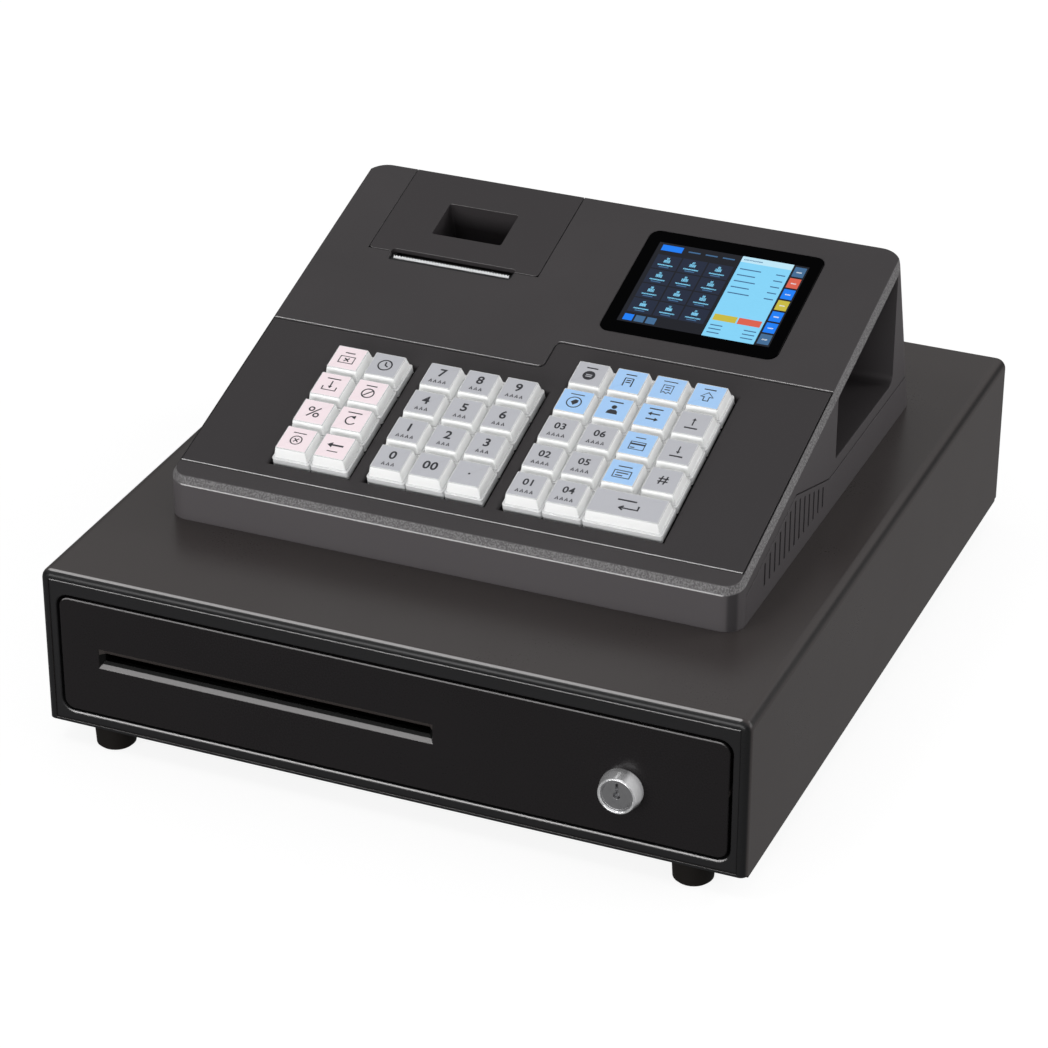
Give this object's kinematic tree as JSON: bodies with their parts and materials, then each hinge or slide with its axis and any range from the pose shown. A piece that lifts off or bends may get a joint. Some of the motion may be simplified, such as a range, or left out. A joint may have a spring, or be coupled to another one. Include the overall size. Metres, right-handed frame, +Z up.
{
  "type": "electronic cash register",
  "caption": "Low electronic cash register: sloped keyboard console with display and receipt printer on a steel cash drawer with a cheque slot and a cam lock.",
  "frame": {"origin": "middle of the bounding box, on the surface that the rubber feet stand on", "axes": "+Z up, -Y towards the operator (the front of the drawer), +X to the operator's right"},
  "size_m": [0.336, 0.3818, 0.1778],
  "materials": {
    "cabinet_paint": "warm dark grey powder coat, fine texture",
    "bezel_paint": "satin black paint",
    "foot_rubber": "matt black rubber",
    "drawer_panel": "satin to gloss near-black, with a fine leather grain",
    "tray_steel": "zinc-plated sheet steel",
    "till_plastic": "matt black moulded plastic",
    "lock_chrome": "polished nickel and chrome plating",
    "latch_steel": "plated steel",
    "console_plastic": "dark grey moulded plastic with a fine grain",
    "keyboard_plastic": "dark grey moulded plastic, matt",
    "mechanism_plastic": "black moulded plastic",
    "screen_gloss": "clear glossy window over a printed-black edge and a colour screen",
    "tear_steel": "stainless steel with a saw edge",
    "platen_rubber": "ground black rubber",
    "paper": "white thermal paper",
    "key_plastic": "white moulded key with a clear cap over a coloured inlay"
  },
  "bodies": {
    "cabinet": {"cabinet_shell": "cabinet_paint", "front_frame": "bezel_paint", "rubber_feet": "foot_rubber", "latch_solenoid": "latch_steel", "console_base": "console_plastic", "console_housing": "console_plastic", "keyboard_panel": "keyboard_plastic", "key_plate": "mechanism_plastic", "display_screen": "screen_gloss", "printer_frame": "mechanism_plastic", "tear_bar": "tear_steel"},
    "drawer": {"drawer_tray": "tray_steel", "drawer_front": "drawer_panel", "till_insert": "till_plastic", "lock_barrel": "lock_chrome"},
    "note_clips": {"note_clips": "till_plastic"},
    "lock_plug": {"lock_plug": "lock_chrome"},
    "latch_hook": {"latch_hook": "latch_steel"},
    "printer_cover": {"printer_cover": "keyboard_plastic"},
    "platen_roller": {"platen_roller": "platen_rubber"},
    "paper_roll": {"paper_roll": "paper"},
    "key_clear": {"key_clear": "key_plastic"},
    "key_vat": {"key_vat": "key_plastic"},
    "key_received": {"key_received": "key_plastic"},
    "key_escape": {"key_escape": "key_plastic"},
    "key_backspace": {"key_backspace": "key_plastic"},
    "key_refund": {"key_refund": "key_plastic"},
    "key_void": {"key_void": "key_plastic"},
    "key_time": {"key_time": "key_plastic"},
    "key_0": {"key_0": "key_plastic"},
    "key_1": {"key_1": "key_plastic"},
    "key_4": {"key_4": "key_plastic"},
    "key_7": {"key_7": "key_plastic"},
    "key_00": {"key_00": "key_plastic"},
    "key_2": {"key_2": "key_plastic"},
    "key_5": {"key_5": "key_plastic"},
    "key_8": {"key_8": "key_plastic"},
    "key_point": {"key_point": "key_plastic"},
    "key_3": {"key_3": "key_plastic"},
    "key_6": {"key_6": "key_plastic"},
    "key_9": {"key_9": "key_plastic"},
    "key_dept_01": {"key_dept_01": "key_plastic"},
    "key_dept_02": {"key_dept_02": "key_plastic"},
    "key_dept_03": {"key_dept_03": "key_plastic"},
    "key_discount": {"key_discount": "key_plastic"},
    "key_lookup": {"key_lookup": "key_plastic"},
    "key_dept_04": {"key_dept_04": "key_plastic"},
    "key_dept_05": {"key_dept_05": "key_plastic"},
    "key_dept_06": {"key_dept_06": "key_plastic"},
    "key_clerk": {"key_clerk": "key_plastic"},
    "key_feed": {"key_feed": "key_plastic"},
    "key_cheque": {"key_cheque": "key_plastic"},
    "key_card": {"key_card": "key_plastic"},
    "key_exchange": {"key_exchange": "key_plastic"},
    "key_receipt": {"key_receipt": "key_plastic"},
    "key_subtotal": {"key_subtotal": "key_plastic"},
    "key_page_down": {"key_page_down": "key_plastic"},
    "key_page_up": {"key_page_up": "key_plastic"},
    "key_shift": {"key_shift": "key_plastic"},
    "key_enter": {"key_enter": "key_plastic"}
  },
  "joints": [
    {"name": "drawer_slide", "type": "slide", "parent": "cabinet", "child": "drawer", "axis": [0, -1, 0], "range_m": [0, 0.25]},
    {"name": "printer_cover_hinge", "type": "hinge", "parent": "cabinet", "child": "printer_cover", "pos_m": [-0.0688, 0.11071, 0.17176], "axis": [-1, 0, 0], "range_deg": [0, 90]},
    {"name": "lock_plug_turn", "type": "hinge", "parent": "drawer", "child": "lock_plug", "pos_m": [0.1113, -0.1839, 0.0443], "axis": [0, 1, 0], "range_deg": [0, 90]},
    {"name": "note_clip_hinge", "type": "hinge", "parent": "drawer", "child": "note_clips", "pos_m": [0, 0.1328, 0.0648], "axis": [-1, 0, 0], "range_deg": [0, 20], "stiffness_Nm_per_rad": 0.03, "springref_deg": -20.05},
    {"name": "latch_hook_pivot", "type": "hinge", "parent": "cabinet", "child": "latch_hook", "pos_m": [0.06, 0.1628, 0.0501], "axis": [0, 0, 1], "range_deg": [0, 9]},
    {"name": "platen_roller_spin", "type": "hinge", "parent": "cabinet", "child": "platen_roller", "pos_m": [-0.0688, 0.05468, 0.15266], "axis": [1, 0, 0], "continuous": true},
    {"name": "paper_roll_spin", "type": "hinge", "parent": "cabinet", "child": "paper_roll", "pos_m": [-0.0688, 0.08905, 0.12466], "axis": [1, 0, 0], "continuous": true},
    {"name": "key_clear_press", "type": "slide", "parent": "cabinet", "child": "key_clear", "axis": [0, 0.284, -0.9588], "range_m": [0, 0.0035], "stiffness_N_per_m": 100, "springref_m": -0.002},
    {"name": "key_vat_press", "type": "slide", "parent": "cabinet", "child": "key_vat", "axis": [0, 0.284, -0.9588], "range_m": [0, 0.0035], "stiffness_N_per_m": 100, "springref_m": -0.002},
    {"name": "key_received_press", "type": "slide", "parent": "cabinet", "child": "key_received", "axis": [0, 0.284, -0.9588], "range_m": [0, 0.0035], "stiffness_N_per_m": 100, "springref_m": -0.002},
    {"name": "key_escape_press", "type": "slide", "parent": "cabinet", "child": "key_escape", "axis": [0, 0.284, -0.9588], "range_m": [0, 0.0035], "stiffness_N_per_m": 100, "springref_m": -0.002},
    {"name": "key_backspace_press", "type": "slide", "parent": "cabinet", "child": "key_backspace", "axis": [0, 0.284, -0.9588], "range_m": [0, 0.0035], "stiffness_N_per_m": 100, "springref_m": -0.002},
    {"name": "key_refund_press", "type": "slide", "parent": "cabinet", "child": "key_refund", "axis": [0, 0.284, -0.9588], "range_m": [0, 0.0035], "stiffness_N_per_m": 100, "springref_m": -0.002},
    {"name": "key_void_press", "type": "slide", "parent": "cabinet", "child": "key_void", "axis": [0, 0.284, -0.9588], "range_m": [0, 0.0035], "stiffness_N_per_m": 100, "springref_m": -0.002},
    {"name": "key_time_press", "type": "slide", "parent": "cabinet", "child": "key_time", "axis": [0, 0.284, -0.9588], "range_m": [0, 0.0035], "stiffness_N_per_m": 100, "springref_m": -0.002},
    {"name": "key_0_press", "type": "slide", "parent": "cabinet", "child": "key_0", "axis": [0, 0.284, -0.9588], "range_m": [0, 0.0035], "stiffness_N_per_m": 100, "springref_m": -0.002},
    {"name": "key_1_press", "type": "slide", "parent": "cabinet", "child": "key_1", "axis": [0, 0.284, -0.9588], "range_m": [0, 0.0035], "stiffness_N_per_m": 100, "springref_m": -0.002},
    {"name": "key_4_press", "type": "slide", "parent": "cabinet", "child": "key_4", "axis": [0, 0.284, -0.9588], "range_m": [0, 0.0035], "stiffness_N_per_m": 100, "springref_m": -0.002},
    {"name": "key_7_press", "type": "slide", "parent": "cabinet", "child": "key_7", "axis": [0, 0.284, -0.9588], "range_m": [0, 0.0035], "stiffness_N_per_m": 100, "springref_m": -0.002},
    {"name": "key_00_press", "type": "slide", "parent": "cabinet", "child": "key_00", "axis": [0, 0.284, -0.9588], "range_m": [0, 0.0035], "stiffness_N_per_m": 100, "springref_m": -0.002},
    {"name": "key_2_press", "type": "slide", "parent": "cabinet", "child": "key_2", "axis": [0, 0.284, -0.9588], "range_m": [0, 0.0035], "stiffness_N_per_m": 100, "springref_m": -0.002},
    {"name": "key_5_press", "type": "slide", "parent": "cabinet", "child": "key_5", "axis": [0, 0.284, -0.9588], "range_m": [0, 0.0035], "stiffness_N_per_m": 100, "springref_m": -0.002},
    {"name": "key_8_press", "type": "slide", "parent": "cabinet", "child": "key_8", "axis": [0, 0.284, -0.9588], "range_m": [0, 0.0035], "stiffness_N_per_m": 100, "springref_m": -0.002},
    {"name": "key_point_press", "type": "slide", "parent": "cabinet", "child": "key_point", "axis": [0, 0.284, -0.9588], "range_m": [0, 0.0035], "stiffness_N_per_m": 100, "springref_m": -0.002},
    {"name": "key_3_press", "type": "slide", "parent": "cabinet", "child": "key_3", "axis": [0, 0.284, -0.9588], "range_m": [0, 0.0035], "stiffness_N_per_m": 100, "springref_m": -0.002},
    {"name": "key_6_press", "type": "slide", "parent": "cabinet", "child": "key_6", "axis": [0, 0.284, -0.9588], "range_m": [0, 0.0035], "stiffness_N_per_m": 100, "springref_m": -0.002},
    {"name": "key_9_press", "type": "slide", "parent": "cabinet", "child": "key_9", "axis": [0, 0.284, -0.9588], "range_m": [0, 0.0035], "stiffness_N_per_m": 100, "springref_m": -0.002},
    {"name": "key_dept_01_press", "type": "slide", "parent": "cabinet", "child": "key_dept_01", "axis": [0, 0.284, -0.9588], "range_m": [0, 0.0035], "stiffness_N_per_m": 100, "springref_m": -0.002},
    {"name": "key_dept_02_press", "type": "slide", "parent": "cabinet", "child": "key_dept_02", "axis": [0, 0.284, -0.9588], "range_m": [0, 0.0035], "stiffness_N_per_m": 100, "springref_m": -0.002},
    {"name": "key_dept_03_press", "type": "slide", "parent": "cabinet", "child": "key_dept_03", "axis": [0, 0.284, -0.9588], "range_m": [0, 0.0035], "stiffness_N_per_m": 100, "springref_m": -0.002},
    {"name": "key_discount_press", "type": "slide", "parent": "cabinet", "child": "key_discount", "axis": [0, 0.284, -0.9588], "range_m": [0, 0.0035], "stiffness_N_per_m": 100, "springref_m": -0.002},
    {"name": "key_lookup_press", "type": "slide", "parent": "cabinet", "child": "key_lookup", "axis": [0, 0.284, -0.9588], "range_m": [0, 0.0035], "stiffness_N_per_m": 100, "springref_m": -0.002},
    {"name": "key_dept_04_press", "type": "slide", "parent": "cabinet", "child": "key_dept_04", "axis": [0, 0.284, -0.9588], "range_m": [0, 0.0035], "stiffness_N_per_m": 100, "springref_m": -0.002},
    {"name": "key_dept_05_press", "type": "slide", "parent": "cabinet", "child": "key_dept_05", "axis": [0, 0.284, -0.9588], "range_m": [0, 0.0035], "stiffness_N_per_m": 100, "springref_m": -0.002},
    {"name": "key_dept_06_press", "type": "slide", "parent": "cabinet", "child": "key_dept_06", "axis": [0, 0.284, -0.9588], "range_m": [0, 0.0035], "stiffness_N_per_m": 100, "springref_m": -0.002},
    {"name": "key_clerk_press", "type": "slide", "parent": "cabinet", "child": "key_clerk", "axis": [0, 0.284, -0.9588], "range_m": [0, 0.0035], "stiffness_N_per_m": 100, "springref_m": -0.002},
    {"name": "key_feed_press", "type": "slide", "parent": "cabinet", "child": "key_feed", "axis": [0, 0.284, -0.9588], "range_m": [0, 0.0035], "stiffness_N_per_m": 100, "springref_m": -0.002},
    {"name": "key_cheque_press", "type": "slide", "parent": "cabinet", "child": "key_cheque", "axis": [0, 0.284, -0.9588], "range_m": [0, 0.0035], "stiffness_N_per_m": 100, "springref_m": -0.002},
    {"name": "key_card_press", "type": "slide", "parent": "cabinet", "child": "key_card", "axis": [0, 0.284, -0.9588], "range_m": [0, 0.0035], "stiffness_N_per_m": 100, "springref_m": -0.002},
    {"name": "key_exchange_press", "type": "slide", "parent": "cabinet", "child": "key_exchange", "axis": [0, 0.284, -0.9588], "range_m": [0, 0.0035], "stiffness_N_per_m": 100, "springref_m": -0.002},
    {"name": "key_receipt_press", "type": "slide", "parent": "cabinet", "child": "key_receipt", "axis": [0, 0.284, -0.9588], "range_m": [0, 0.0035], "stiffness_N_per_m": 100, "springref_m": -0.002},
    {"name": "key_subtotal_press", "type": "slide", "parent": "cabinet", "child": "key_subtotal", "axis": [0, 0.284, -0.9588], "range_m": [0, 0.0035], "stiffness_N_per_m": 100, "springref_m": -0.002},
    {"name": "key_page_down_press", "type": "slide", "parent": "cabinet", "child": "key_page_down", "axis": [0, 0.284, -0.9588], "range_m": [0, 0.0035], "stiffness_N_per_m": 100, "springref_m": -0.002},
    {"name": "key_page_up_press", "type": "slide", "parent": "cabinet", "child": "key_page_up", "axis": [0, 0.284, -0.9588], "range_m": [0, 0.0035], "stiffness_N_per_m": 100, "springref_m": -0.002},
    {"name": "key_shift_press", "type": "slide", "parent": "cabinet", "child": "key_shift", "axis": [0, 0.284, -0.9588], "range_m": [0, 0.0035], "stiffness_N_per_m": 100, "springref_m": -0.002},
    {"name": "key_enter_press", "type": "slide", "parent": "cabinet", "child": "key_enter", "axis": [0, 0.284, -0.9588], "range_m": [0, 0.0035], "stiffness_N_per_m": 100, "springref_m": -0.002}
  ]
}
